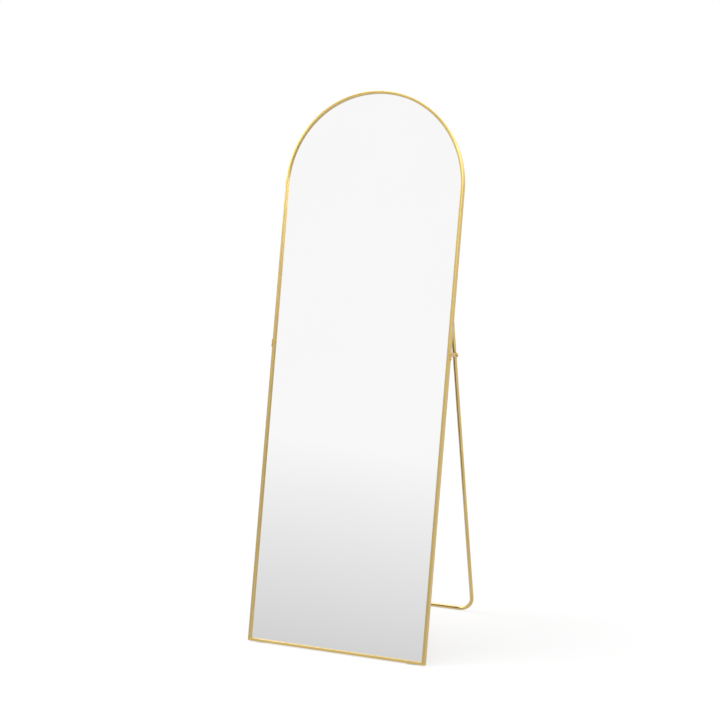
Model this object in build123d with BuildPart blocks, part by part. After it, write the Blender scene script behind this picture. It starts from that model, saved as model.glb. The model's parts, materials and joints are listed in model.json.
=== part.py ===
from build123d import *
import math
import os

os.makedirs("parts", exist_ok=True)

# An arch-topped floor mirror in a thin metal frame. It leans back on a U-shaped stand of bent tube,
# which folds flat about two pivot bolts. Millimetres, +Z up, the front faces -Y, and the origin is
# on the floor under the middle of the whole object.

# Frame and its lean
frame_width = 560.0
frame_height = 1650.0
frame_depth = 18.0
tilt = 12.5

# Section of the frame's extrusion
face_width = 8.0
wall = 1.1
edge_round = 3.0
inner_edge_round = 0.6
seat_depth = 7.0
channel_skin = 1.0
channel_gap = 1.6
channel_lip = 2.4

# Glass and what lies behind it
gasket_thickness = 0.5
glass_thickness = 3.0
film_thickness = 0.2
board_thickness = 2.5
glass_edge_gap = 1.0
board_edge_gap = 1.5
gasket_width = 4.5

# Spring clips behind the backboard
clip_length = 50.0
clip_width = 9.0
clip_thickness = 0.4
clip_pitch = 320.0
clips_on_arch = 3

# Corner angles in the rear channel
angle_arm = 45.0
angle_screw_inset = 24.0

# Screws in the frame
screw_radius = 1.5
screw_head_radius = 2.75
screw_head_height = 1.6
screw_head_round = 0.9
screw_socket_radius = 1.1
screw_socket_depth = 1.0
grub_radius = 1.4
grub_socket_radius = 0.7
grub_socket_depth = 1.2

# Side brackets that carry the stand
pivot_height = 895.0
pivot_offset = 49.0
bracket_thickness = 1.5
bracket_arm_height = 12.0
bracket_end_radius = 6.25
bracket_foot_height = 24.0
bracket_foot_front = 1.0
bracket_fillet = 1.5
bracket_screw_pitch = 13.0
nut_bar_length = 40.0

# Pivot bolts
bolt_radius = 2.5
bolt_head_radius = 4.5
bolt_head_height = 1.8
bolt_head_round = 1.2
bolt_socket_radius = 1.75
bolt_socket_depth = 1.1
washer_radius = 6.75
washer_thickness = 0.8
nut_across_flats = 8.0
nut_height = 5.0
nut_hexagon_height = 3.5
nut_collar_radius = 3.6
bolt_end_beyond_nut = 0.8

# Stand
tube_radius = 6.0
tube_wall = 1.0
bend_radius = 46.0
foot_distance = 506.6
bar_width = 510.0
cap_thickness = 2.0
cap_round = 0.4
cap_plug = 22.0
sleeve_wall = 1.2
sleeve_length = 30.0
sleeve_place = 100.0

# Floor pads under the bottom rail
pad_length = 30.0
pad_width = 10.5
pad_thickness = 1.0
pad_rear_inset = 0.5
pad_side_inset = 25.0

# Keyhole hangers on the back
hanger_height = 1300.0
hanger_plate_width = 28.0
hanger_plate_height = 46.0
hanger_thickness = 1.5
hanger_edge_inset = 0.5
hanger_corner = 3.0
hanger_screw_pitch = 30.0
keyhole_inset = 18.0
keyhole_radius = 4.5
keyhole_slot_radius = 2.3
keyhole_rise = 12.0
slot_bar_length = 42.0

# Clearances
fit_gap = 0.05
slide_gap = 0.2
touch_gap = 0.3
hole_gap = 0.2
cut_margin = 1.0

# Worked out from the sizes above
half_width = frame_width / 2
springline = frame_height - half_width
lean_sin = math.sin(math.radians(tilt))
lean_cos = math.cos(math.radians(tilt))
glass_front = seat_depth + gasket_thickness
film_front = glass_front + glass_thickness
board_front = film_front + film_thickness
board_back = board_front + board_thickness
channel_front = frame_depth - 2 * channel_skin - channel_gap
slot_front = channel_front + channel_skin
slot_back = slot_front + channel_gap
slot_middle = face_width / 2
chamber_width = face_width - 2 * wall
chamber_depth = seat_depth - 2 * wall
bar_height = tube_radius + sleeve_wall

# The foremost point is on the rounded lower edge of the frame, the rearmost on the stand's sleeves.
front_reach = edge_round * (lean_sin + lean_cos - 1)
back_reach = foot_distance + bar_height
front_y = -(front_reach + back_reach) / 2
front_z = pad_thickness + (frame_depth - pad_rear_inset) * lean_sin

# The plane of the frame's front face, from the middle of its lower edge, with y up the mirror.
mirror_plane = Plane(origin=(0, front_y, front_z), x_dir=(1, 0, 0), z_dir=(0, -lean_cos, lean_sin))
rear_way = Vector(0, lean_cos, -lean_sin)
up_way = Vector(0, lean_sin, lean_cos)


def behind(depth):
    """A plane parallel to the front face, a depth behind it."""
    return mirror_plane.offset(-depth)


def beside(x):
    """A plane across the object at x: its x runs from front to back, its y up the mirror."""
    return Plane(origin=mirror_plane.from_local_coords((x, 0, 0)), x_dir=rear_way, z_dir=(1, 0, 0))


def along_rail(x, height, inward, depth):
    """A plane across a rail: x runs along the rail, y to the front, z inward at an angle."""
    way = math.radians(inward)
    origin = mirror_plane.from_local_coords((x, height, -depth))
    inward_way = Vector(1, 0, 0) * math.cos(way) + up_way * math.sin(way)
    rail_way = Vector(1, 0, 0) * -math.sin(way) + up_way * math.cos(way)
    return Plane(origin=origin, x_dir=rail_way, z_dir=inward_way)


def save(piece, name):
    """Label a finished piece and write its file."""
    piece.part.label = name
    export_step(piece.part, f"parts/{name}.step")


def headed_screws(points, outward, head, shank, socket):
    """Screws with round heads and hexagon sockets; the points are under the heads."""
    head_radius, head_height, head_round = head
    shank_radius, shank_length = shank
    socket_radius, socket_depth = socket
    seats = [Plane(origin=point, z_dir=outward) for point in points]
    with BuildPart(*seats) as screws:
        Cylinder(head_radius, head_height, align=(Align.CENTER, Align.CENTER, Align.MIN))
        fillet(screws.edges().group_by(Axis(points[0], outward))[-1], head_round)
        Cylinder(shank_radius, shank_length, align=(Align.CENTER, Align.CENTER, Align.MAX))
        with BuildSketch(*[seat.offset(head_height) for seat in seats]):
            RegularPolygon(socket_radius, 6)
        extrude(amount=-socket_depth, mode=Mode.SUBTRACT)
    return screws


def rail_section():
    """The extrusion's section: x from the outer edge inward, y from the front face to the back."""
    corner = (Align.MIN, Align.MAX)
    with BuildSketch() as section:
        Rectangle(face_width, frame_depth, align=corner)
        fillet(section.vertices().group_by(Axis.Y)[-1].sort_by(Axis.X)[0], edge_round)
        fillet(section.vertices().group_by(Axis.Y)[-1].sort_by(Axis.X)[-1], inner_edge_round)
        # The closed chamber behind the front face.
        with BuildSketch(mode=Mode.SUBTRACT) as chamber:
            with Locations((wall, -wall)):
                Rectangle(chamber_width, chamber_depth, align=corner)
            fillet(chamber.vertices().group_by(Axis.Y)[-1].sort_by(Axis.X)[0], edge_round - wall)
        # The bay that holds the glass and the backboard, open inward.
        with Locations((wall, -seat_depth)):
            Rectangle(face_width, channel_front - seat_depth, align=corner, mode=Mode.SUBTRACT)
        # The rear channel and its mouth.
        with Locations((wall, -slot_front)):
            Rectangle(chamber_width, channel_gap, align=corner, mode=Mode.SUBTRACT)
        with Locations((channel_lip, -slot_back)):
            Rectangle(face_width - 2 * channel_lip, channel_skin, align=corner, mode=Mode.SUBTRACT)
    return section.sketch


def arch_outline(inset):
    """The frame's outline, filled, drawn in from its outer edge by an inset."""
    reach = half_width - inset
    with BuildSketch() as outline:
        with BuildLine():
            Polyline((-reach, springline), (-reach, inset), (reach, inset), (reach, springline))
            CenterArc((0, springline), reach, 0, 180)
        make_face()
    return outline.sketch


def mitre_cut(side, keep_stile):
    """The triangle that a mitre takes off the end of a rail, drawn on the front face."""
    corner_x = side * half_width
    inner_x = side * (half_width - face_width)
    low = -cut_margin
    high = face_width + cut_margin
    spare_x = inner_x - side * cut_margin if keep_stile else corner_x + side * cut_margin
    spare_y = low if keep_stile else high
    Polygon(
        (corner_x + side * cut_margin, low),
        (inner_x - side * cut_margin, high),
        (spare_x, spare_y),
        align=None,
    )


# Places of the side brackets' screws and pivots, as depth and height on the frame's side.
bracket_screw_depth = seat_depth / 2
screw_centers = [(bracket_screw_depth, pivot_height - step * bracket_screw_pitch) for step in (0, 1)]
pivot_depth = frame_depth + pivot_offset
pivot = mirror_plane.from_local_coords((0, pivot_height, -pivot_depth))

rail_profile = rail_section()
screw_head = (screw_head_radius, screw_head_height, screw_head_round)
screw_socket = (screw_socket_radius, screw_socket_depth)

# Arched rail: both stiles and the arch in one bent extrusion, mitred at its lower ends
with BuildPart() as arch_rail:
    with BuildLine(mirror_plane):
        Line((half_width, 0), (half_width, springline))
        CenterArc((0, springline), half_width, 0, 180)
        Line((-half_width, springline), (-half_width, 0))
    right_foot = mirror_plane.from_local_coords((half_width, 0, 0))
    with BuildSketch(Plane(origin=right_foot, x_dir=(-1, 0, 0), z_dir=up_way)):
        add(rail_profile)
    sweep()
    for side in (1, -1):
        with BuildSketch(mirror_plane.offset(cut_margin)):
            mitre_cut(side, keep_stile=True)
        extrude(amount=-frame_depth - 2 * cut_margin, mode=Mode.SUBTRACT)
        with BuildSketch(beside(side * (half_width + cut_margin))):
            with Locations(*screw_centers):
                Circle(screw_radius + hole_gap)
        extrude(amount=-side * (2 * cut_margin + wall), mode=Mode.SUBTRACT)
save(arch_rail, "arch_rail")

# Bottom rail: a straight length of the same extrusion between the mitres
with BuildPart() as bottom_rail:
    left_foot = mirror_plane.from_local_coords((-half_width, 0, 0))
    with BuildSketch(Plane(origin=left_foot, x_dir=up_way, z_dir=(1, 0, 0))):
        add(rail_profile)
    extrude(amount=frame_width)
    for side in (1, -1):
        with BuildSketch(mirror_plane.offset(cut_margin)):
            mitre_cut(side, keep_stile=False)
        extrude(amount=-frame_depth - 2 * cut_margin, mode=Mode.SUBTRACT)
save(bottom_rail, "bottom_rail")

# Mirror glass: silvered float glass
with BuildPart() as mirror_glass:
    with BuildSketch(behind(glass_front)):
        add(arch_outline(wall + glass_edge_gap))
    extrude(amount=-glass_thickness)
save(mirror_glass, "mirror_glass")

# Glass gasket: a strip of tape between the rail's seat and the glass
with BuildPart() as glass_gasket:
    with BuildSketch(behind(seat_depth)):
        add(arch_outline(wall + glass_edge_gap))
        add(arch_outline(wall + glass_edge_gap + gasket_width), mode=Mode.SUBTRACT)
    extrude(amount=-gasket_thickness)
save(glass_gasket, "glass_gasket")

# Safety film stuck to the silvered back of the glass
with BuildPart() as safety_film:
    with BuildSketch(behind(film_front)):
        add(arch_outline(wall + glass_edge_gap))
    extrude(amount=-film_thickness)
save(safety_film, "safety_film")

# Backboard of thin hardboard
with BuildPart() as backboard:
    with BuildSketch(behind(board_front)):
        add(arch_outline(wall + board_edge_gap))
    extrude(amount=-board_thickness)
save(backboard, "backboard")

# Spring clips: bowed strips pushed in between the backboard and the rear channel
clip_edge = wall + board_edge_gap
clip_reach = half_width - clip_edge
clip_count = math.floor((springline - clip_length) / clip_pitch)
clip_heights = [clip_pitch * (step + 0.5) for step in range(clip_count)]
clip_places = [(side * clip_reach, height, 90 + side * 90) for side in (1, -1) for height in clip_heights]
for step in range(clips_on_arch):
    turn = 180 * (step + 1) / (clips_on_arch + 1)
    arch_x = clip_reach * math.cos(math.radians(turn))
    arch_height = springline + clip_reach * math.sin(math.radians(turn))
    clip_places.append((arch_x, arch_height, turn + 180))
clip_places += [(side * half_width / 2, clip_edge, 90) for side in (1, -1)]
clip_sagitta = clip_length**2 / (8 * clip_reach)
half_clip = clip_length / 2
clip_low = channel_front - board_back - fit_gap - clip_thickness
with BuildPart() as spring_clips:
    for x, height, inward in clip_places:
        with BuildSketch(along_rail(x, height, inward, board_back).offset(clip_sagitta)):
            with BuildLine():
                front_edge = ThreePointArc((-half_clip, -clip_low), (0, -fit_gap), (half_clip, -clip_low))
                back_edge = ThreePointArc(
                    (-half_clip, -clip_low - clip_thickness),
                    (0, -fit_gap - clip_thickness),
                    (half_clip, -clip_low - clip_thickness),
                )
                Line(front_edge @ 0, back_edge @ 0)
                Line(front_edge @ 1, back_edge @ 1)
            make_face()
        extrude(amount=clip_width)
save(spring_clips, "spring_clips")

# Corner angles: flat steel angles that slide in the rear channel and hold each mitre
angle_width = face_width - 2 * wall - 2 * slide_gap
angle_thickness = channel_gap - slide_gap
angle_plane = behind(slot_back - fit_gap)
grub_places = []
for side, hand in ((1, "right"), (-1, "left")):
    slot_x = side * (half_width - slot_middle)
    tip_x = side * (half_width - angle_arm)
    outer_x = slot_x + side * angle_width / 2
    arm_screw = (side * (half_width - angle_screw_inset), slot_middle)
    post_screw = (slot_x, angle_screw_inset)
    grub_places += [arm_screw, post_screw]
    with BuildPart() as corner_angle:
        with BuildSketch(angle_plane):
            with Locations(((outer_x + tip_x) / 2, slot_middle)):
                Rectangle(abs(outer_x - tip_x), angle_width)
            with Locations((slot_x, (slot_middle - angle_width / 2 + angle_arm) / 2)):
                Rectangle(angle_width, angle_arm - slot_middle + angle_width / 2)
            with Locations(arm_screw, post_screw):
                Circle(grub_radius + fit_gap, mode=Mode.SUBTRACT)
        extrude(amount=angle_thickness)
    save(corner_angle, f"corner_angle_{hand}")

# Grub screws that lock the corner angles against the channel's lips
with BuildPart() as corner_screws:
    with BuildSketch(behind(slot_front)):
        with Locations(*grub_places):
            Circle(grub_radius)
    extrude(amount=-(channel_gap + channel_skin))
    with BuildSketch(behind(frame_depth)):
        with Locations(*grub_places):
            RegularPolygon(grub_socket_radius, 6)
    extrude(amount=grub_socket_depth, mode=Mode.SUBTRACT)
save(corner_screws, "corner_screws")

# Side brackets, their threaded bars and screws, and the pivot hardware, right and left
leg_x = half_width - washer_thickness - touch_gap - tube_radius
inner_washer_x = leg_x - tube_radius - touch_gap
nut_x = inner_washer_x - washer_thickness
bolt_end_x = nut_x - nut_height - bolt_end_beyond_nut
foot_top = pivot_height + bracket_arm_height / 2
foot_back = frame_depth - hole_gap
nut_bar_low = pivot_height - (bracket_screw_pitch + nut_bar_length) / 2
bolt_center = (pivot_depth, pivot_height)
for side, hand in ((1, "right"), (-1, "left")):
    outward = Vector(side, 0, 0)
    plate_face = beside(side * (half_width + bracket_thickness))

    # Bracket: a flat plate with a foot on the frame's side and an arm with a round end
    with BuildPart() as pivot_bracket:
        with BuildSketch(beside(side * half_width)) as plate:
            with Locations(((bracket_foot_front + foot_back) / 2, foot_top - bracket_foot_height / 2)):
                Rectangle(foot_back - bracket_foot_front, bracket_foot_height)
            with Locations(((bracket_foot_front + pivot_depth) / 2, pivot_height)):
                Rectangle(pivot_depth - bracket_foot_front, bracket_arm_height)
            armpit = Vector(foot_back, pivot_height - bracket_arm_height / 2)
            fillet(plate.vertices().sort_by_distance(armpit)[0], bracket_fillet)
            with Locations(bolt_center):
                Circle(bracket_end_radius)
                Circle(bolt_radius + fit_gap, mode=Mode.SUBTRACT)
            with Locations(*screw_centers):
                Circle(screw_radius + fit_gap, mode=Mode.SUBTRACT)
        extrude(amount=side * bracket_thickness)
    save(pivot_bracket, f"pivot_bracket_{hand}")

    # Threaded bar in the stile's chamber, which the bracket's screws hold in
    with BuildPart() as nut_bar:
        with BuildSketch(beside(side * (half_width - wall - slide_gap))):
            with Locations((bracket_screw_depth, nut_bar_low + nut_bar_length / 2)):
                Rectangle(chamber_depth - 2 * slide_gap, nut_bar_length)
        extrude(amount=-side * (chamber_width - 2 * slide_gap))
        front_corner = mirror_plane.from_local_coords((side * half_width, nut_bar_low, 0))
        long_edges = nut_bar.edges().filter_by(Axis(pivot, up_way))
        fillet(long_edges.sort_by_distance(front_corner)[0], edge_round - wall)
        with BuildSketch(beside(side * half_width)):
            with Locations(*screw_centers):
                Circle(screw_radius + fit_gap)
        extrude(amount=-side * face_width, mode=Mode.SUBTRACT)
    save(nut_bar, f"nut_bar_{hand}")

    # Bracket screws, through the foot and the stile's wall into the threaded bar
    screw_seats = [plate_face.from_local_coords((depth, height, 0)) for depth, height in screw_centers]
    bracket_screws = headed_screws(
        screw_seats,
        outward,
        screw_head,
        (screw_radius, bracket_thickness + face_width - wall - slide_gap),
        screw_socket,
    )
    save(bracket_screws, f"bracket_screws_{hand}")

    # Pivot bolt: a button head outside the bracket, its shank through the leg and the lock nut
    pivot_bolt = headed_screws(
        [plate_face.from_local_coords((pivot_depth, pivot_height, 0))],
        outward,
        (bolt_head_radius, bolt_head_height, bolt_head_round),
        (bolt_radius, half_width + bracket_thickness - bolt_end_x),
        (bolt_socket_radius, bolt_socket_depth),
    )
    save(pivot_bolt, f"pivot_bolt_{hand}")

    # Nylon washers: one between bracket and leg, one between leg and nut
    for washer_x, place in ((half_width, "outer"), (inner_washer_x, "inner")):
        with BuildPart() as pivot_washer:
            with BuildSketch(beside(side * washer_x)):
                with Locations(bolt_center):
                    Circle(washer_radius)
                    Circle(bolt_radius + fit_gap, mode=Mode.SUBTRACT)
            extrude(amount=-side * washer_thickness)
        save(pivot_washer, f"{place}_washer_{hand}")

    # Lock nut with its nylon collar
    with BuildPart() as lock_nut:
        with BuildSketch(beside(side * nut_x)):
            with Locations(bolt_center):
                RegularPolygon(nut_across_flats / 2, 6, major_radius=False)
        extrude(amount=-side * nut_hexagon_height)
        with BuildSketch(beside(side * nut_x)):
            with Locations(bolt_center):
                Circle(nut_collar_radius)
        extrude(amount=-side * nut_height)
        with BuildSketch(beside(side * nut_x)):
            with Locations(bolt_center):
                Circle(bolt_radius + fit_gap)
        extrude(amount=-side * nut_height, mode=Mode.SUBTRACT)
    save(lock_nut, f"lock_nut_{hand}")

# The stand's own plane, from the middle of its floor bar, with y up between the legs.
bar_middle = Vector(0, front_y + foot_distance, bar_height)
leg_length = (pivot - bar_middle).length
stand_way = (pivot - bar_middle).normalized()
stand_plane = Plane(origin=bar_middle, x_dir=(1, 0, 0), z_dir=Vector(1, 0, 0).cross(stand_way))
lean_between = math.radians(stand_way.get_angle(up_way))
splay = (leg_x - bar_width / 2) / leg_length

# The legs run on above the pivots to the back of the stiles, and their ends are cut parallel to it.
# Their middle line is drawn on past the back, so that the cut takes the whole tube.
cap_face = behind(frame_depth + touch_gap)
tube_end = behind(frame_depth + touch_gap + cap_thickness)
tube_top = leg_length + (pivot_offset + 2 * tube_radius) / math.sin(lean_between)


def leg_center(height):
    """How far a leg's middle is from the stand's middle, at a height up the stand."""
    return bar_width / 2 + splay * height


# Stand tube: one round tube bent into two legs and a floor bar
with BuildPart() as stand_tube:
    with BuildLine(stand_plane) as stand_path:
        FilletPolyline(
            (leg_center(tube_top), tube_top),
            (leg_center(0), 0),
            (-leg_center(0), 0),
            (-leg_center(tube_top), tube_top),
            radius=bend_radius,
        )
    with BuildSketch(Plane(origin=stand_path.line @ 0, z_dir=stand_path.line % 0)):
        Circle(tube_radius)
        Circle(tube_radius - tube_wall, mode=Mode.SUBTRACT)
    sweep()
    split(bisect_by=tube_end, keep=Keep.BOTTOM)
    for side in (1, -1):
        with BuildSketch(beside(side * (leg_x + 2 * tube_radius))):
            with Locations(bolt_center):
                Circle(bolt_radius + fit_gap)
        extrude(amount=-side * 4 * tube_radius, mode=Mode.SUBTRACT)
save(stand_tube, "stand_tube")

# End caps: plastic plugs whose slanting faces close the legs and rest on the back of the stiles
plug_reach = (2 * tube_radius + touch_gap + cap_thickness) / math.sin(lean_between) + cap_plug
for side, hand in ((1, "right"), (-1, "left")):
    top = stand_plane.from_local_coords((side * leg_center(tube_top), tube_top, 0))
    foot = stand_plane.from_local_coords((side * leg_center(0), 0, 0))
    with BuildPart(Plane(origin=top, z_dir=top - foot)) as end_cap:
        downward = (Align.CENTER, Align.CENTER, Align.MAX)
        Cylinder(tube_radius, plug_reach, align=downward)
        split(bisect_by=tube_end, keep=Keep.TOP)
        Cylinder(tube_radius - tube_wall - fit_gap, plug_reach, align=downward)
        split(bisect_by=cap_face, keep=Keep.BOTTOM)
        fillet(end_cap.faces().sort_by(Axis(pivot, rear_way))[0].edges(), cap_round)
    save(end_cap, f"end_cap_{hand}")

# Soft sleeves on the floor bar
for side, hand in ((1, "right"), (-1, "left")):
    with BuildPart() as bar_sleeve:
        with BuildSketch(Plane.YZ.offset(side * sleeve_place - sleeve_length / 2)):
            with Locations((bar_middle.Y, bar_middle.Z)):
                Circle(bar_height)
                Circle(tube_radius + fit_gap, mode=Mode.SUBTRACT)
        extrude(amount=sleeve_length)
    save(bar_sleeve, f"bar_sleeve_{hand}")

# Floor pads: wedges under the bottom rail with a level face to stand on
pad_front = mirror_plane.from_local_coords((0, 0, pad_rear_inset + pad_width - frame_depth))
pad_back = mirror_plane.from_local_coords((0, 0, pad_rear_inset - frame_depth))
for side, hand in ((1, "right"), (-1, "left")):
    pad_middle = side * (half_width - pad_side_inset - pad_length / 2)
    with BuildPart() as floor_pad:
        with BuildSketch(Plane.YZ.offset(pad_middle - pad_length / 2)):
            Polygon(
                (pad_front.Y, pad_front.Z),
                (pad_back.Y, pad_back.Z),
                (pad_back.Y, 0),
                (pad_front.Y, 0),
                align=None,
            )
        extrude(amount=pad_length)
    save(floor_pad, f"floor_pad_{hand}")

# Keyhole hangers: a plate on the back of each stile, held by two screws in a bar in the channel
hanger_screw_heights = [hanger_height - hanger_screw_pitch / 2, hanger_height + hanger_screw_pitch / 2]
for side, hand in ((1, "right"), (-1, "left")):
    screw_x = side * (half_width - slot_middle)
    plate_x = side * (half_width - hanger_edge_inset - hanger_plate_width / 2)
    keyhole_x = side * (half_width - keyhole_inset)
    hanger_screws_at = [(screw_x, height) for height in hanger_screw_heights]
    with BuildPart() as hanger_plate:
        with BuildSketch(behind(frame_depth)):
            with Locations((plate_x, hanger_height)):
                RectangleRounded(hanger_plate_width, hanger_plate_height, hanger_corner)
            with Locations(*hanger_screws_at):
                Circle(screw_radius + fit_gap, mode=Mode.SUBTRACT)
            with Locations((keyhole_x, hanger_height - keyhole_rise / 2)):
                Circle(keyhole_radius, mode=Mode.SUBTRACT)
                slot_foot = (Align.CENTER, Align.MIN)
                Rectangle(2 * keyhole_slot_radius, keyhole_rise, align=slot_foot, mode=Mode.SUBTRACT)
            with Locations((keyhole_x, hanger_height + keyhole_rise / 2)):
                Circle(keyhole_slot_radius, mode=Mode.SUBTRACT)
        extrude(amount=-hanger_thickness)
    save(hanger_plate, f"hanger_plate_{hand}")

    with BuildPart() as slot_bar:
        with BuildSketch(angle_plane):
            with Locations((screw_x, hanger_height)):
                Rectangle(angle_width, slot_bar_length)
            with Locations(*hanger_screws_at):
                Circle(screw_radius + fit_gap, mode=Mode.SUBTRACT)
        extrude(amount=angle_thickness)
    save(slot_bar, f"slot_bar_{hand}")

    hanger_face = behind(frame_depth + hanger_thickness)
    hanger_screws = headed_screws(
        [hanger_face.from_local_coords((x, height, 0)) for x, height in hanger_screws_at],
        rear_way,
        screw_head,
        (screw_radius, hanger_thickness + channel_skin + channel_gap - slide_gap),
        screw_socket,
    )
    save(hanger_screws, f"hanger_screws_{hand}")

fold_past_flat = math.asin((pivot_offset - bar_height - touch_gap) / leg_length)
print("the stand folds through", round(math.degrees(lean_between + fold_past_flat), 2), "degrees")
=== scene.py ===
import json
import math

import bpy
from mathutils import Matrix, Vector


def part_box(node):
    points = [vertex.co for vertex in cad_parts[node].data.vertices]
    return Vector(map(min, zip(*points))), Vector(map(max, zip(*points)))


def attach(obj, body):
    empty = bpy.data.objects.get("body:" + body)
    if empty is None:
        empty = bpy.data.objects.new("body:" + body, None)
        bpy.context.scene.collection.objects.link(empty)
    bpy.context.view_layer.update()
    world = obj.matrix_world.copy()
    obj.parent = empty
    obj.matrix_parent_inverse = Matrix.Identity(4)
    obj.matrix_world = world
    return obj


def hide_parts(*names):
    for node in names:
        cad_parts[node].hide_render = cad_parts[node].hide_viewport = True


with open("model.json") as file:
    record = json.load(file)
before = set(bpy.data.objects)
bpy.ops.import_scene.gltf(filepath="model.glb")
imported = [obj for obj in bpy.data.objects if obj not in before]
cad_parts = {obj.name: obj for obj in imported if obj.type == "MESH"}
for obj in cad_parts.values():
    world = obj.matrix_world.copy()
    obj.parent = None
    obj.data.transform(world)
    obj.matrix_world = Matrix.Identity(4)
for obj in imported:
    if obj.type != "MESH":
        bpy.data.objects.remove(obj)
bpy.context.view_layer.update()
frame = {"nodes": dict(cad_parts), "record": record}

# Real sizes of the frame's extrusion, as in the construction
MM = 0.001
LEAN = math.radians(12.5)
RAIL_FACE = 8 * MM
RAIL_DEPTH = 18 * MM
WALL = 1.1 * MM
EDGE_ROUND = 3 * MM
INNER_ROUND = 0.6 * MM
SEAT_DEPTH = 7 * MM
POCKET_BACK = 14.4 * MM
SKIN = 1 * MM
CHANNEL_LIP = 2.4 * MM
MITRE_EASE = 0.12 * MM
SAWN_OFF = 12 * MM

# How finely curves are made, how near points are to be one, and angles in degrees for smoothing
ARCH_STEPS = 128
EDGE_STEPS = 10
INNER_STEPS = 4
EASE_STEPS = 2
ON_PLANE = 0.0001 * MM
SAME_POINT = 0.001 * MM
SAME_PACKED_POINT = 0.002 * MM
FLAT = 0.6
SHARP = 35
SMOOTH_RAIL = 32
SMOOTH_EASED = 40

# The section's hollows: from and to across the face, then from and to behind the front
INNER_SKIN = RAIL_FACE - WALL
FAR_LIP = RAIL_FACE - CHANNEL_LIP
SEAT_FRONT = SEAT_DEPTH - WALL
CHANNEL_FRONT = POCKET_BACK + SKIN
CHANNEL_BACK = RAIL_DEPTH - SKIN
HOLLOWS = (
    (WALL, INNER_SKIN, WALL, SEAT_FRONT),
    (WALL, RAIL_FACE, SEAT_DEPTH, POCKET_BACK),
    (WALL, INNER_SKIN, CHANNEL_FRONT, CHANNEL_BACK),
    (CHANNEL_LIP, FAR_LIP, CHANNEL_BACK, RAIL_DEPTH),
)

# Directions on the leaning frame, and the middle of its lower front edge, worked out from the boxes
SIDE = Vector((1, 0, 0))
UP = Vector((0, math.sin(LEAN), math.cos(LEAN)))
BACK = Vector((0, math.cos(LEAN), -math.sin(LEAN)))
rail_low, rail_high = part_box("arch_rail")
half_width = rail_high.x
foot_z = rail_low.z + RAIL_DEPTH * math.sin(LEAN)
rounding_rise = EDGE_ROUND * (1 - math.cos(LEAN) - math.sin(LEAN))
frame_height = (rail_high.z - foot_z - rounding_rise) / math.cos(LEAN)
foot_y = rail_high.y - frame_height * math.sin(LEAN) - RAIL_DEPTH * math.cos(LEAN)
FOOT = Vector((0, foot_y, foot_z))
springline = frame_height - half_width


def on_frame(x, height, depth):
    """A point from its place across, up and behind the frame's front face."""
    return FOOT + SIDE * x + UP * height + BACK * depth


def colour(code):
    """A linear colour from an sRGB hex code."""
    parts = [int(code[i:i + 2], 16) / 255 for i in (0, 2, 4)]
    linear = [c / 12.92 if c <= 0.04045 else ((c + 0.055) / 1.055) ** 2.4 for c in parts]
    return (*linear, 1.0)


# Tools for modelling


def pick(piece):
    """Selects one piece alone and makes it the active one."""
    bpy.ops.object.select_all(action="DESELECT")
    piece.select_set(True)
    bpy.context.view_layer.objects.active = piece


def edit(piece):
    """Opens a piece with everything in it selected."""
    pick(piece)
    bpy.ops.object.mode_set(mode="EDIT")
    bpy.ops.mesh.select_all(action="SELECT")


def close(piece, smooth):
    """Leaves edit mode and smooths every edge blunter than an angle in degrees."""
    if piece.mode == "EDIT":
        bpy.ops.object.mode_set(mode="OBJECT")
    pick(piece)
    bpy.ops.object.shade_smooth_by_angle(angle=math.radians(smooth))


def choose_none(piece):
    """Leaves edit mode with nothing in a piece selected."""
    bpy.ops.object.mode_set(mode="OBJECT")
    for part in (piece.data.vertices, piece.data.edges, piece.data.polygons):
        part.foreach_set("select", [False] * len(part))


def choose_faces(piece, wanted):
    """Selects the faces whose middle a test wants."""
    choose_none(piece)
    for face in piece.data.polygons:
        face.select = wanted(face.center)
    bpy.ops.object.mode_set(mode="EDIT")
    bpy.ops.mesh.select_mode(type="FACE")


def choose_points(piece, wanted):
    """Selects the points whose place a test wants."""
    choose_none(piece)
    for point in piece.data.vertices:
        point.select = wanted(point.co)
    bpy.ops.object.mode_set(mode="EDIT")
    bpy.ops.mesh.select_mode(type="VERT")


def score(point, normal):
    """Scores a line across the whole piece where a plane meets it."""
    bpy.ops.mesh.select_all(action="SELECT")
    bpy.ops.mesh.bisect(plane_co=point, plane_no=normal, threshold=ON_PLANE)


def cut_mitre(point, normal):
    """Cuts the chosen length of a rail at a plane, closes it and eases the new edges."""
    bpy.ops.mesh.bisect(plane_co=point, plane_no=normal, threshold=ON_PLANE, clear_outer=True, use_fill=True)
    bpy.ops.mesh.region_to_loop()
    bpy.ops.mesh.bevel(offset=MITRE_EASE, segments=1, affect="EDGES")


def grow(way):
    """Draws the selected section out by a vector."""
    bpy.ops.mesh.extrude_region_move(TRANSFORM_OT_translate={"value": way})


def merged_copy(name, node):
    """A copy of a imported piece, its loose triangles joined up and its flat faces made whole."""
    piece = bpy.data.objects.new(name, frame["nodes"][node].data.copy())
    bpy.context.scene.collection.objects.link(piece)
    pick(piece)
    bpy.ops.mesh.customdata_custom_splitnormals_clear()
    edit(piece)
    bpy.ops.mesh.remove_doubles(threshold=SAME_PACKED_POINT)
    bpy.ops.mesh.dissolve_limited(angle_limit=math.radians(FLAT))
    bpy.ops.object.mode_set(mode="OBJECT")
    return piece


def eased_copy(name, node, ease):
    """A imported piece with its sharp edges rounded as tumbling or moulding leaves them."""
    piece = merged_copy(name, node)
    bevel = piece.modifiers.new("ease", "BEVEL")
    bevel.width = ease
    bevel.segments = EASE_STEPS
    bevel.limit_method = "ANGLE"
    bevel.angle_limit = math.radians(SHARP)
    bpy.ops.object.modifier_apply(modifier="ease")
    close(piece, SMOOTH_EASED)
    return piece


def dress(piece, material, slot, body, *nodes):
    """Gives a piece its material and the body it rides on, and hides the nodes it stands for. The slot is
    not used.
    """
    piece.data.materials.clear()
    piece.data.materials.append(material)
    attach(piece, body)
    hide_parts(*nodes)


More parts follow.
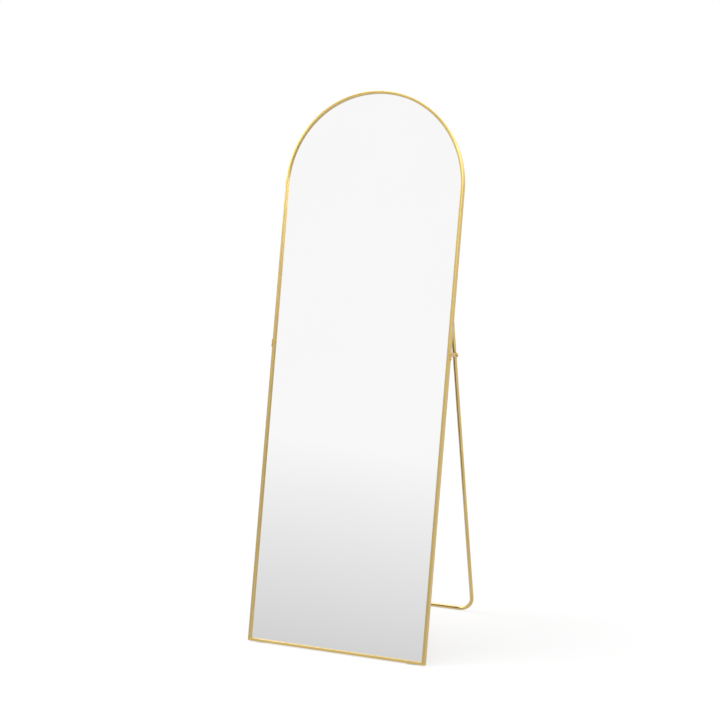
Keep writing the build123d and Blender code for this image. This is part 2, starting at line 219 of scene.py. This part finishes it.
# The frame's two rails, drawn from one extrusion


def blank_section(start, across, deep, name):
    """A flat blank as wide as the rail's face and as deep as the rail, with a corner at the start."""
    bpy.ops.object.select_all(action="DESELECT")
    bpy.ops.mesh.primitive_plane_add(size=1, location=(0.5, 0.5, 0))
    piece = bpy.context.object
    piece.name = piece.data.name = name
    bpy.ops.object.transform_apply()
    lay = Matrix((across * RAIL_FACE, deep * RAIL_DEPTH, across.cross(deep))).transposed().to_4x4()
    lay.translation = start
    piece.data.transform(lay)
    return piece


def rail_section(start, across, deep, name):
    """The extrusion's section as a flat piece: across from the outer edge, deep from the front."""
    piece = blank_section(start, across, deep, name)
    for inset, rounding, steps in ((0, EDGE_ROUND, EDGE_STEPS), (RAIL_FACE, INNER_ROUND, INNER_STEPS)):
        corner = start + across * inset
        choose_points(piece, lambda point: (point - corner).length < SAME_POINT)
        bpy.ops.mesh.bevel(offset=rounding, segments=steps, affect="VERTICES")
    for inset in (WALL, CHANNEL_LIP, FAR_LIP, INNER_SKIN):
        score(start + across * inset, across)
    for depth in (WALL, SEAT_FRONT, SEAT_DEPTH, POCKET_BACK, CHANNEL_FRONT, CHANNEL_BACK):
        score(start + deep * depth, deep)

    def hollow(middle):
        inset = (middle - start).dot(across)
        depth = (middle - start).dot(deep)
        return any(a < inset < b and c < depth < d for a, b, c, d in HOLLOWS)

    # The two webs between the hollows go too, because all their corners are chosen with the hollows.
    # They are hidden behind the face and the backboard, and the construction keeps them.
    choose_faces(piece, hollow)
    bpy.ops.mesh.delete(type="FACE")
    bpy.ops.mesh.select_all(action="SELECT")
    return piece


def lay_grain(piece, along, across):
    """Maps a rail for its grain, in millimetres: U across the grain and V along it."""
    grain = piece.data.uv_layers.new(name="grain")
    for loop in piece.data.loops:
        point = piece.data.vertices[loop.vertex_index].co
        grain.data[loop.index].uv = (across(point) / MM, along(point) / MM)


def finish_rail(piece):
    """Closes a rail and turns its faces outward."""
    bpy.ops.mesh.select_all(action="SELECT")
    bpy.ops.mesh.remove_doubles(threshold=SAME_POINT)
    bpy.ops.mesh.normals_make_consistent(inside=False)
    close(piece, SMOOTH_RAIL)


def arched_rail():
    """Both stiles and the arch, bent from one length and mitred at the floor."""
    length = springline + SAWN_OFF
    piece = rail_section(on_frame(half_width, -SAWN_OFF, 0), -SIDE, BACK, "arched_rail")
    grow(UP * length)
    bpy.ops.mesh.spin(steps=ARCH_STEPS, angle=math.pi, center=on_frame(0, springline, 0), axis=BACK)
    grow(-UP * length)
    for side in (1, -1):
        choose_faces(piece, lambda middle: middle.x * side > 0 and (middle - FOOT).dot(UP) < springline)
        cut_mitre(on_frame(side * half_width, 0, 0), (-UP - SIDE * side).normalized())
    finish_rail(piece)

    def along(point):
        x, height = point.x, (point - FOOT).dot(UP)
        if height < springline:
            return height if x > 0 else math.pi * half_width + 2 * springline - height
        return springline + half_width * math.atan2(height - springline, x)

    def across(point):
        height = (point - FOOT).dot(UP)
        reach = abs(point.x) if height < springline else math.hypot(point.x, height - springline)
        return half_width - reach - (point - FOOT).dot(BACK)

    lay_grain(piece, along, across)
    return piece


def bottom_rail():
    """The straight length between the mitres."""
    piece = rail_section(on_frame(-half_width - SAWN_OFF, 0, 0), UP, BACK, "lower_rail")
    grow(SIDE * 2 * (half_width + SAWN_OFF))
    for side in (1, -1):
        bpy.ops.mesh.select_all(action="SELECT")
        cut_mitre(on_frame(side * half_width, 0, 0), (UP + SIDE * side).normalized())
    finish_rail(piece)
    lay_grain(piece, lambda point: point.x, lambda point: (point - FOOT).dot(UP - BACK))
    return piece


# Materials


def add(tree, kind, inputs=None, **settings):
    """Adds a node: settings are its own choices, inputs give its sockets values or links."""
    node = tree.nodes.new(kind)
    for name, value in settings.items():
        setattr(node, name, value)
    for name, value in (inputs or {}).items():
        if isinstance(value, bpy.types.NodeSocket):
            tree.links.new(value, node.inputs[name])
        else:
            node.inputs[name].default_value = value
    return node


def new_material(name):
    """An empty material's tree, and the material."""
    material = bpy.data.materials.new(name)
    material.use_nodes = True
    material.node_tree.nodes.clear()
    return material.node_tree, material


def finish_surface(tree, shader):
    """Joins a shader to the material's output."""
    add(tree, "ShaderNodeOutputMaterial", {"Surface": shader.outputs[0]})


def noise(tree, where, size, detail=2.0, roughness=0.5):
    """A noise's value, its lumps as big as a size in the units of its coordinates."""
    given = {"Vector": where, "Scale": 1 / size, "Detail": detail, "Roughness": roughness}
    return add(tree, "ShaderNodeTexNoise", given).outputs[0]


def between(tree, share, low, high, start=0.3, end=0.7):
    """A value that goes from low to high as a share goes from start to end."""
    given = {"Value": share, "From Min": start, "From Max": end, "To Min": low, "To Max": high}
    return add(tree, "ShaderNodeMapRange", given).outputs[0]


def tint(tree, share, first, second):
    """A colour between two, by a share."""
    given = {0: share, 6: colour(first), 7: colour(second)}
    return add(tree, "ShaderNodeMix", given, data_type="RGBA").outputs[2]


def place(tree):
    """Where a point is on the piece, in metres."""
    return add(tree, "ShaderNodeTexCoord").outputs["Object"]


def bump(tree, height, distance, strength=1.0):
    """A bumped normal from a height and its real depth in metres."""
    given = {"Height": height, "Distance": distance, "Strength": strength}
    return add(tree, "ShaderNodeBump", given).outputs[0]


# Finishes


def gold_anodised_rail():
    """Aluminium, brushed along its length and anodised gold: light spreads across the fine lines."""
    tree, material = new_material("gold anodised aluminium, brushed lengthwise")
    grain = add(tree, "ShaderNodeUVMap", uv_map="grain").outputs[0]
    # Brush lines a quarter of a millimetre wide and some 60 mm long, with slower cloudy bands in them.
    lines = add(tree, "ShaderNodeMapping", {"Vector": grain, "Scale": (4.0, 1 / 60, 1)}).outputs[0]
    bands = add(tree, "ShaderNodeMapping", {"Vector": grain, "Scale": (0.5, 1 / 220, 1)}).outputs[0]
    fine = noise(tree, lines, 1, detail=3)
    slow = noise(tree, bands, 1)
    across = add(tree, "ShaderNodeTangent", direction_type="UV_MAP", uv_map="grain").outputs[0]
    shader = add(tree, "ShaderNodeBsdfPrincipled", {
        "Base Color": tint(tree, between(tree, fine, 0, 1), "b3984d", "c2a65d"),
        "Metallic": 1.0,
        "Roughness": between(tree, slow, 0.36, 0.42),
        "Anisotropic": 0.75,
        "Tangent": across,
        "Coat Weight": 1.0,
        "Coat Roughness": 0.28,
        "Normal": bump(tree, fine, 0.004 * MM, 0.4),
    })
    finish_surface(tree, shader)
    return material


def gold_lacquered_tube():
    """Steel tube under a clear gold lacquer: a bright skin with a faint orange peel."""
    tree, material = new_material("gold lacquered steel tube")
    # Orange peel 2 mm from crest to crest; the lacquer's tone drifts over a hand's width.
    peel = noise(tree, place(tree), 2 * MM)
    drift = noise(tree, place(tree), 110 * MM)
    shader = add(tree, "ShaderNodeBsdfPrincipled", {
        "Base Color": tint(tree, between(tree, drift, 0, 1), "bfa662", "ccb272"),
        "Metallic": 1.0,
        "Roughness": between(tree, peel, 0.26, 0.32),
        "Coat Weight": 1.0,
        "Coat Roughness": 0.12,
        "Normal": bump(tree, peel, 0.01 * MM, 0.5),
    })
    finish_surface(tree, shader)
    return material


def plated_metal(name, light, dark, roughness, mottle):
    """Plated or blued steel: a metal mottled in spots some millimetres wide, with fine scuffs."""
    tree, material = new_material(name)
    spots = noise(tree, place(tree), mottle * MM, detail=3)
    scuffs = noise(tree, place(tree), 0.4 * MM, detail=1)
    shader = add(tree, "ShaderNodeBsdfPrincipled", {
        "Base Color": tint(tree, between(tree, spots, 0, 1), dark, light),
        "Metallic": 1.0,
        "Roughness": between(tree, spots, roughness + 0.06, roughness - 0.04),
        "Normal": bump(tree, scuffs, 0.006 * MM, 0.3),
    })
    finish_surface(tree, shader)
    return material


def silvered_glass():
    """Float glass silvered on its back: a clean mirror with the faintest bloom in its polish."""
    tree, material = new_material("silvered float glass")
    bloom = noise(tree, place(tree), 330 * MM)
    shader = add(tree, "ShaderNodeBsdfPrincipled", {
        "Base Color": tint(tree, between(tree, bloom, 0, 1), "f6f7f6", "f8f8f8"),
        "Metallic": 1.0,
        "Roughness": between(tree, bloom, 0.0, 0.012),
    })
    finish_surface(tree, shader)
    return material


def hardboard():
    """Pressed wood fibre: brown, with darker flecks and a fuzzy tooth."""
    tree, material = new_material("tempered hardboard")
    fibres = noise(tree, place(tree), 1.1 * MM, detail=6, roughness=0.7)
    clouds = noise(tree, place(tree), 40 * MM, detail=3)
    shader = add(tree, "ShaderNodeBsdfPrincipled", {
        "Base Color": tint(tree, between(tree, fibres, 0, 1, 0.35, 0.65), "7c5a3a", "a37f56"),
        "Roughness": between(tree, clouds, 0.72, 0.6),
        "Normal": bump(tree, fibres, 0.12 * MM, 0.7),
    })
    finish_surface(tree, shader)
    return material


def safety_film():
    """Polyethylene film with its woven scrim showing through, a thread about every 3 mm."""
    tree, material = new_material("woven polyethylene safety film")
    weave = []
    for way in ("X", "Z"):
        given = {"Vector": place(tree), "Scale": 100, "Distortion": 0.4}
        threads = add(tree, "ShaderNodeTexWave", given, wave_type="BANDS", bands_direction=way)
        weave.append(threads.outputs["Fac"])
    scrim = add(tree, "ShaderNodeMath", {0: weave[0], 1: weave[1]}, operation="MAXIMUM").outputs[0]
    shader = add(tree, "ShaderNodeBsdfPrincipled", {
        "Base Color": tint(tree, scrim, "c9ccce", "dadcdd"),
        "Roughness": 0.35,
        "Normal": bump(tree, scrim, 0.05 * MM, 0.5),
    })
    finish_surface(tree, shader)
    return material


def moulded(name, light, dark, roughness, grain, depth, clear=0.0):
    """Moulded plastic, foam or rubber: a matt tooth, its grain and depth in mm, and a faint drift."""
    tree, material = new_material(name)
    tooth = noise(tree, place(tree), grain * MM)
    drift = noise(tree, place(tree), 16 * MM)
    shader = add(tree, "ShaderNodeBsdfPrincipled", {
        "Base Color": tint(tree, between(tree, drift, 0, 1), light, dark),
        "Roughness": between(tree, tooth, roughness - 0.05, roughness + 0.05),
        "Transmission Weight": clear,
        "Normal": bump(tree, tooth, depth * MM, 0.6),
    })
    finish_surface(tree, shader)
    return material


# Each slot of the construction and its finish. Brass plate is warm and satin, zinc is grey and spangled,
# blued spring steel is dark; foam, nylon and rubber are dull black, and silicone lets light through.
finishes = {
    "frame_gold": gold_anodised_rail(),
    "stand_gold": gold_lacquered_tube(),
    "bracket_gold": plated_metal("brass plated steel, satin", "d2b06a", "c39f58", 0.3, 3.3),
    "screw_gold": plated_metal("brass plated steel, tumbled", "c9a764", "b8934e", 0.26, 1.7),
    "mirror": silvered_glass(),
    "hardboard": hardboard(),
    "film": safety_film(),
    "zinc_steel": plated_metal("zinc plated steel", "c4c7ca", "a6aaad", 0.32, 4.5),
    "spring_steel": plated_metal("blued spring steel", "5b6270", "3d434e", 0.28, 5.5),
    "gasket_foam": moulded("closed cell foam tape", "1b1b1c", "232324", 0.85, 0.35, 0.08),
    "nylon_black": moulded("moulded nylon, black", "141415", "1b1b1c", 0.42, 0.25, 0.02),
    "cap_plastic": moulded("moulded polypropylene, gold tan", "b3924f", "bb9a57", 0.4, 0.3, 0.02),
    "sleeve_rubber": moulded("rubber sleeve, matt black", "1a1a1b", "222223", 0.68, 0.3, 0.05),
    "pad_rubber": moulded("clear silicone rubber", "eeeeec", "e4e4e1", 0.45, 0.3, 0.02, clear=0.6),
}

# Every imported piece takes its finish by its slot; the ones that stay as they are keep it
slots = {}
for name, node in frame["nodes"].items():
    slots[name] = node.material_slots[0].material.name
    for holder in node.material_slots:
        holder.material = finishes[holder.material.name]
bodies = {name: body for body, names in frame["record"]["behaviour"]["bodies"].items() for name in names}


# Pieces modelled afresh stand for their nodes

dress(arched_rail(), finishes["frame_gold"], "frame_gold", "mirror", "arch_rail")
dress(bottom_rail(), finishes["frame_gold"], "frame_gold", "mirror", "bottom_rail")

# How far tumbling or moulding eases the edges of the small parts made left and right, in millimetres
EASES = {
    "pivot_bracket": 0.25,
    "bracket_screws": 0.1,
    "pivot_bolt": 0.12,
    "outer_washer": 0.15,
    "inner_washer": 0.15,
    "lock_nut": 0.2,
    "end_cap": 0.12,
    "bar_sleeve": 0.35,
    "floor_pad": 0.3,
    "hanger_plate": 0.2,
    "hanger_screws": 0.1,
    "corner_angle": 0.12,
}
for part, ease in EASES.items():
    for hand in ("left", "right"):
        node = f"{part}_{hand}"
        piece = eased_copy(f"{part}_eased_{hand}", node, ease * MM)
        dress(piece, finishes[slots[node]], slots[node], bodies[node], node)


# The studio


# White, the floor's paint, how much of the floor's white shows whatever the light, its side in metres,
# and the room's plain fill on what is neither seen nor mirrored
WHITE = (1, 1, 1, 1)
FLOOR_PAINT = (0.97, 0.97, 0.97, 1)
FLOOR_GLOW = 0.7
FLOOR_SIDE = 120
ROOM_FILL = 0.1

# Far softboxes: degrees round from the front, degrees up, and strength
LAMP_WIDTH = 40
LAMP_DISTANCE = 4
SOFTBOXES = {
    "upper_left_softbox": (-78, 60, 0.8),
    "left_softbox": (-62, 28, 0.6),
    "front_softbox": (27, 34, 0.75),
    "right_softbox": (60, 30, 1.3),
    "side_softbox": (95, 40, 0.7),
    "top_softbox": (-25, 68, 0.65),
}

# The near softbox hangs left of the arch and is aimed at it: power in watts, side in metres
NEAR_POWER = 20
NEAR_SIDE = 0.7
NEAR_PLACE = Vector((-1.6, -0.5, 2.0))
NEAR_AIM = Vector((0, 0.3, 1.5))

# The camera's place, its turn to the left and its drop in degrees, its lens and sensor in millimetres
CAMERA_PLACE = (1.9383, -4.7845, 1.8468)
CAMERA_TURN = 22.29
CAMERA_DROP = 11.15
CAMERA_LENS = 88.81
CAMERA_SENSOR = 36


def studio():
    """A white world to the camera; to metal and mirror a pale room, greyer low down, brighter behind."""
    world = bpy.data.worlds.new("studio")
    bpy.context.scene.world = world
    world.use_nodes = True
    tree = world.node_tree
    tree.nodes.clear()
    way = add(tree, "ShaderNodeTexCoord").outputs["Generated"]
    toward = add(tree, "ShaderNodeSeparateXYZ", {0: way}).outputs
    rising = between(tree, toward["Z"], 0.67, 1.0, 0.04, 0.16)
    behind = between(tree, toward["Y"], 1.0, 1.7, 0.0, 0.6)
    room = add(tree, "ShaderNodeMath", {0: rising, 1: behind}, operation="MULTIPLY").outputs[0]
    path = add(tree, "ShaderNodeLightPath").outputs
    mirrored = {0: path["Is Glossy Ray"], 2: ROOM_FILL, 3: room}
    unseen = add(tree, "ShaderNodeMix", mirrored, data_type="FLOAT").outputs[0]
    direct = {0: path["Is Camera Ray"], 2: unseen, 3: 1.0}
    level = add(tree, "ShaderNodeMix", direct, data_type="FLOAT").outputs[0]
    back = add(tree, "ShaderNodeBackground", {"Color": WHITE, "Strength": level})
    add(tree, "ShaderNodeOutputWorld", {"Surface": back.outputs[0]})


def floor():
    """A white floor that keeps the mirror's soft shadow."""
    bpy.ops.object.select_all(action="DESELECT")
    bpy.ops.mesh.primitive_plane_add(size=FLOOR_SIDE)
    ground = bpy.context.object
    ground.name = "floor"
    tree, material = new_material("white studio floor")
    path = add(tree, "ShaderNodeLightPath").outputs
    paint = add(tree, "ShaderNodeBsdfDiffuse", {"Color": FLOOR_PAINT})
    glow = add(tree, "ShaderNodeEmission", {"Color": WHITE, "Strength": 1.0})
    eyes = {0: path["Is Camera Ray"], 1: path["Is Glossy Ray"]}
    seen = add(tree, "ShaderNodeMath", eyes, operation="MAXIMUM").outputs[0]
    share = add(tree, "ShaderNodeMath", {0: seen, 1: FLOOR_GLOW}, operation="MULTIPLY").outputs[0]
    both = add(tree, "ShaderNodeMixShader", {0: share, 1: paint.outputs[0], 2: glow.outputs[0]})
    finish_surface(tree, both)
    ground.data.materials.append(material)


def hang(name, light, spot, aim):
    """Hangs a light at a spot and turns it to what it is aimed at."""
    item = bpy.data.objects.new(name, light)
    bpy.context.scene.collection.objects.link(item)
    item.location = spot
    item.rotation_euler = (aim - spot).to_track_quat("-Z", "Y").to_euler()


def from_angle(azimuth, elevation):
    """A direction from its angle round from the front and its height, in degrees."""
    turn, rise = math.radians(azimuth), math.radians(elevation)
    return Vector((math.sin(turn) * math.cos(rise), -math.cos(turn) * math.cos(rise), math.sin(rise)))


def far_softbox(name, azimuth, elevation, strength):
    """A broad soft lamp so far off that its light is even over the whole mirror."""
    light = bpy.data.lights.new(name, "SUN")
    light.energy = strength
    light.angle = math.radians(LAMP_WIDTH)
    hang(name, light, from_angle(azimuth, elevation) * LAMP_DISTANCE, Vector((0, 0, 0)))


def near_softbox():
    """A square softbox close to the arch at the left: its light falls off down the frame."""
    light = bpy.data.lights.new("near_softbox", "AREA")
    light.energy = NEAR_POWER
    light.size = NEAR_SIDE
    hang("near_softbox", light, NEAR_PLACE, NEAR_AIM)


def camera():
    """The photograph's view, from the right and a little above."""
    data = bpy.data.cameras.new("camera")
    data.lens = CAMERA_LENS
    data.sensor_width = CAMERA_SENSOR
    item = bpy.data.objects.new("camera", data)
    bpy.context.scene.collection.objects.link(item)
    item.location = CAMERA_PLACE
    item.rotation_euler = (math.radians(90 - CAMERA_DROP), 0, math.radians(CAMERA_TURN))
    bpy.context.scene.camera = item


studio()
floor()
near_softbox()
for box, (azimuth, elevation, strength) in SOFTBOXES.items():
    far_softbox(box, azimuth, elevation, strength)
camera()
bpy.context.scene.view_settings.view_transform = "Standard"
